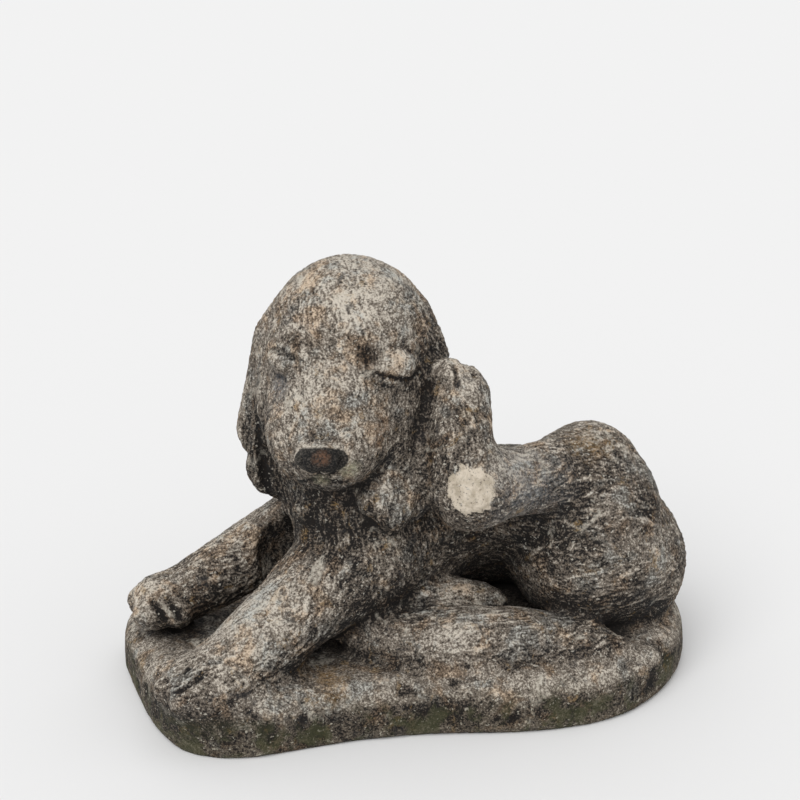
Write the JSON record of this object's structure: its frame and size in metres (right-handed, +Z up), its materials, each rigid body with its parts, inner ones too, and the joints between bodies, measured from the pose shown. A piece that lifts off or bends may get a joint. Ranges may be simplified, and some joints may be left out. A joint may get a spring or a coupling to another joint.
{
  "type": "dog statue",
  "caption": "Cast stone garden statue of a spaniel puppy lying on an oval plinth, head turned, scratching its ear with a raised hind foot.",
  "frame": {"origin": "middle of the flat underside, by the object's bounding box", "axes": "+Z up, +X along the plinth towards the dog's rump, -Y towards the side that the raised hind leg and the tail are on"},
  "size_m": [0.444, 0.2448, 0.3441],
  "materials": {
    "cast_stone": "weathered, rough, mottled grey-brown with pale specks and dark lichen"
  },
  "bodies": {
    "root": {"dog_statue": "cast_stone"}
  },
  "joints": []
}
